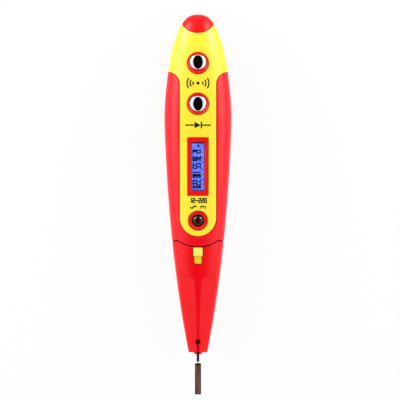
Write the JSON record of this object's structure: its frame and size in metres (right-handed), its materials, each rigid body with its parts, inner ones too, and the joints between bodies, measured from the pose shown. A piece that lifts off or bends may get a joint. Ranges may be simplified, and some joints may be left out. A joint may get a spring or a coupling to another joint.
{
  "type": "voltage detector",
  "caption": "Pen-shaped digital voltage detector with touch pads, a long display window, an indicator lamp, a pull-off nose and a flat test blade.",
  "frame": {"origin": "on the surface the pen lies on, under the middle of its length", "axes": "+X to the right of the display face, +Y towards the tail, +Z out of the display face"},
  "size_m": [0.0248, 0.14, 0.0157],
  "materials": {
    "yellow_plastic": "glossy moulded yellow",
    "red_plastic": "glossy moulded red",
    "red_soft": "satin soft skin",
    "chrome_pad": "polished",
    "clear_window": "clear polished",
    "display_blue": "blue liquid crystal",
    "white_guide": "milky",
    "black_rubber": "matte",
    "lamp_red": "dark clear red",
    "board_green": "solder mask",
    "black_resin": "moulded resin",
    "brass_strip": "sprung brass",
    "bright_steel": "bright",
    "blade_steel": "dark drawn steel",
    "black_sleeve": "satin"
  },
  "bodies": {
    "housing": {"front_shell": "yellow_plastic", "rear_shell": "red_plastic", "front_grip": "red_soft", "tail_cap": "red_plastic", "pad_ring_upper": "red_plastic", "pad_ring_lower": "red_plastic", "pad_spring_upper": "bright_steel", "pad_spring_lower": "bright_steel", "display_bezel": "red_plastic", "display_lens": "clear_window", "lcd_glass": "display_blue", "display_diffuser": "white_guide", "zebra_strips": "black_rubber", "led_ring": "red_plastic", "indicator_led": "lamp_red", "circuit_board": "board_green", "driver_chip": "black_resin", "surface_parts": "black_resin", "battery_holder": "yellow_plastic", "button_cells": "bright_steel", "cell_contact_plus": "brass_strip", "cell_contact_minus": "brass_strip", "sense_strip": "brass_strip", "probe_spring": "bright_steel", "case_screws": "bright_steel"},
    "upper_pad": {"touch_pad_upper": "chrome_pad"},
    "lower_pad": {"touch_pad_lower": "chrome_pad"},
    "latch": {"latch_tongue": "yellow_plastic"},
    "nose": {"nose_cover": "red_plastic", "probe_blade": "blade_steel", "probe_sleeve": "black_sleeve"}
  },
  "joints": [
    {"name": "upper_pad_press", "type": "slide", "parent": "housing", "child": "upper_pad", "axis": [0, -0.1216, -0.9926], "range_m": [0, 0.0004], "stiffness_N_per_m": 400, "deforming": ["pad_spring_upper"]},
    {"name": "lower_pad_press", "type": "slide", "parent": "housing", "child": "lower_pad", "axis": [0, -0.0395, -0.9992], "range_m": [0, 0.0004], "stiffness_N_per_m": 400, "deforming": ["pad_spring_lower"]},
    {"name": "latch_press", "type": "slide", "parent": "housing", "child": "latch", "axis": [0, 0, -1], "range_m": [0, 0.0006], "stiffness_N_per_m": 600},
    {"name": "nose_pull", "type": "slide", "parent": "housing", "child": "nose", "axis": [0, -1, 0], "range_m": [0, 0.035]}
  ]
}
